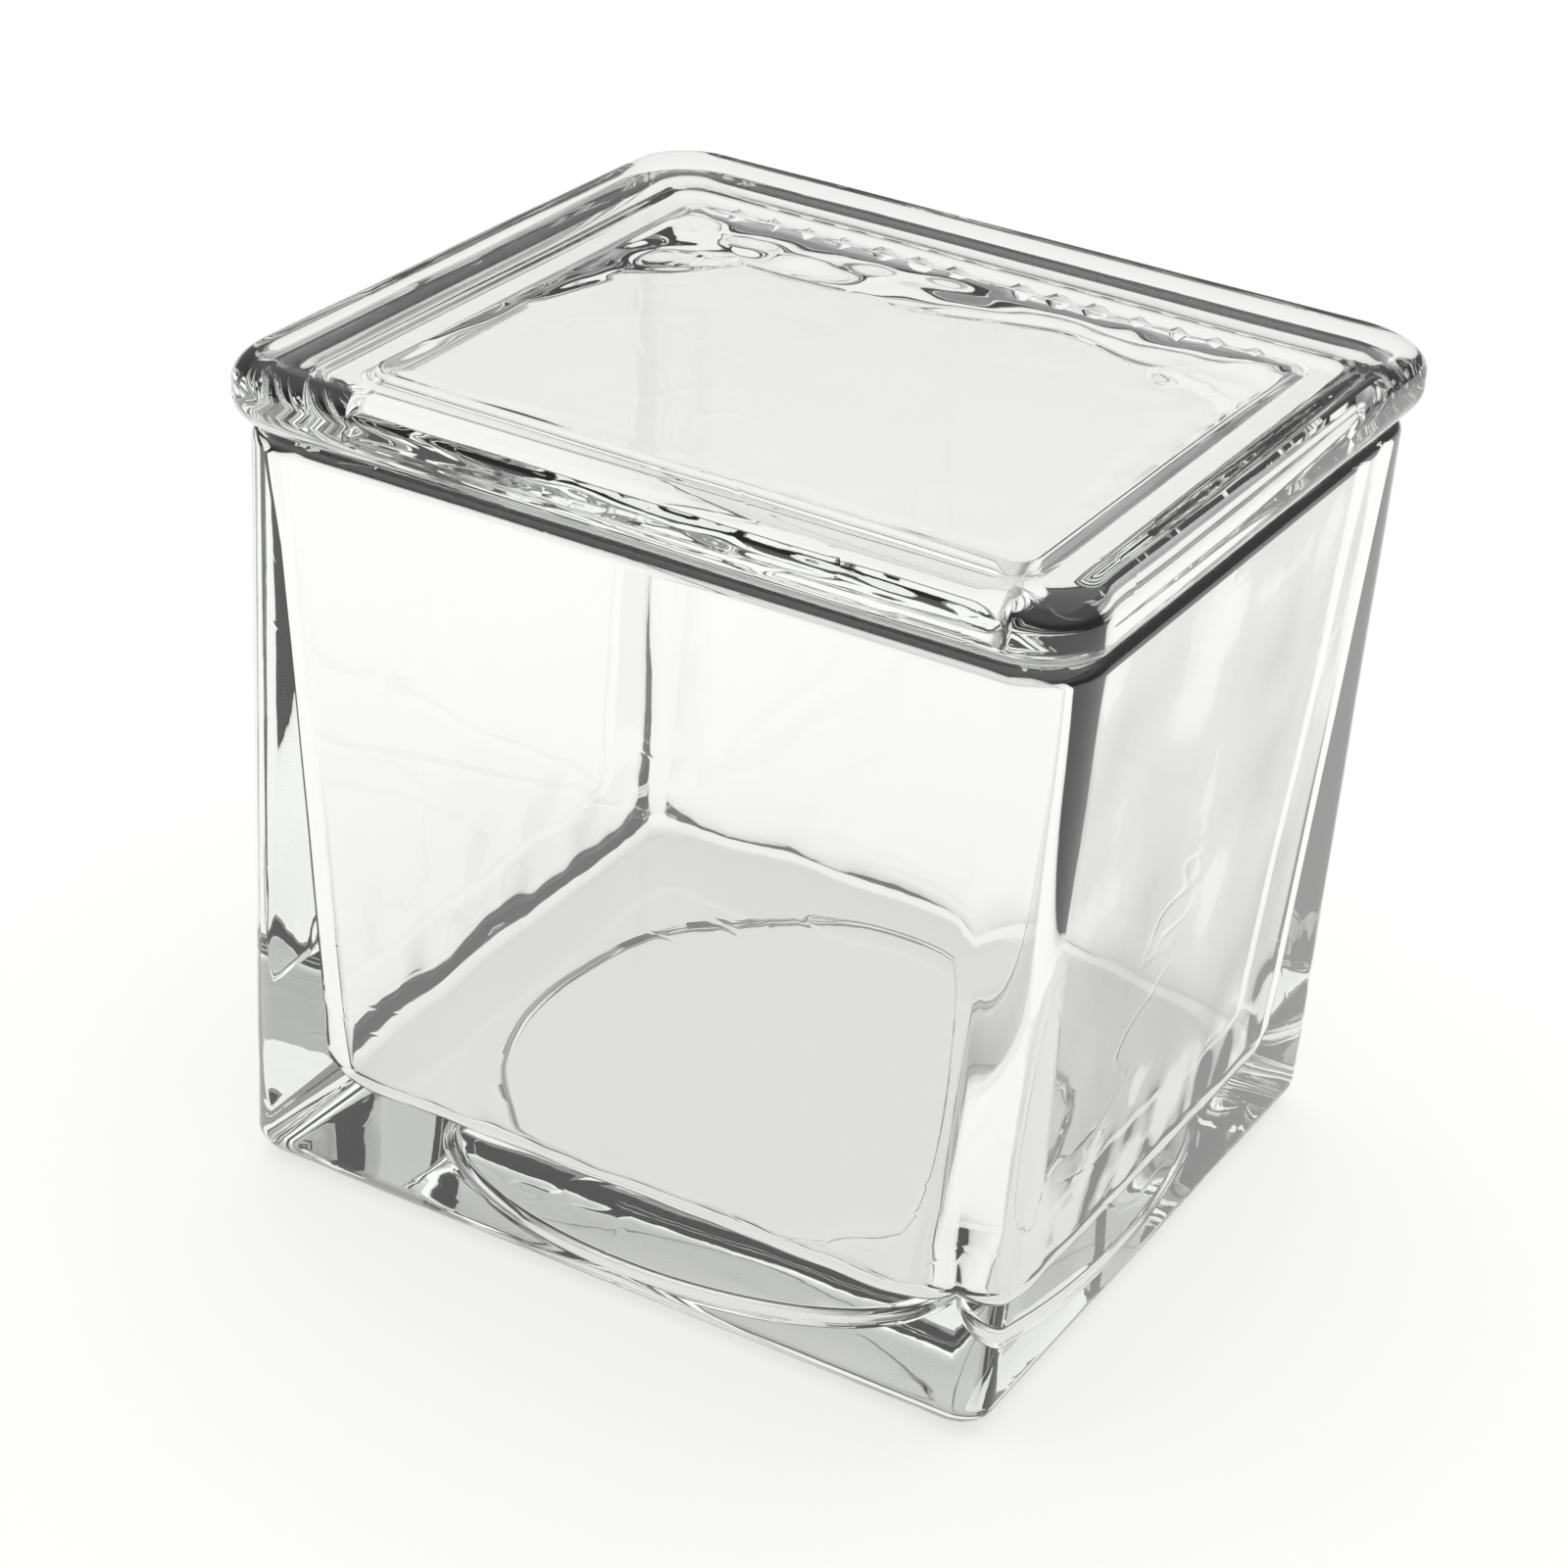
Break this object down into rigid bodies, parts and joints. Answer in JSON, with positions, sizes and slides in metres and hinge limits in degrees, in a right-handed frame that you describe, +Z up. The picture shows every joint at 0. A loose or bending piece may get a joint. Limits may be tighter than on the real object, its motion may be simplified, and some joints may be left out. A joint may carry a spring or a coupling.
{
  "type": "specimen jar",
  "caption": "Square clear pressed-glass jar with a heavy base and a loose glass lid that drops into its mouth, for showing or keeping small specimens.",
  "frame": {"origin": "centre of the jar's underside, on the surface that the jar stands on", "axes": "+Z up through the lid, +X along the jar's longer side"},
  "size_m": [0.0922, 0.0822, 0.0897],
  "materials": {
    "jar_glass": "clear fire-polished soda-lime glass",
    "lid_glass": "clear fire-polished soda-lime glass"
  },
  "bodies": {
    "jar": {"jar_body": "jar_glass"},
    "lid": {"lid": "lid_glass"}
  },
  "joints": [
    {"name": "lid_lift", "type": "slide", "parent": "jar", "child": "lid", "axis": [0, 0, 1], "range_m": [0, 0.03]}
  ]
}
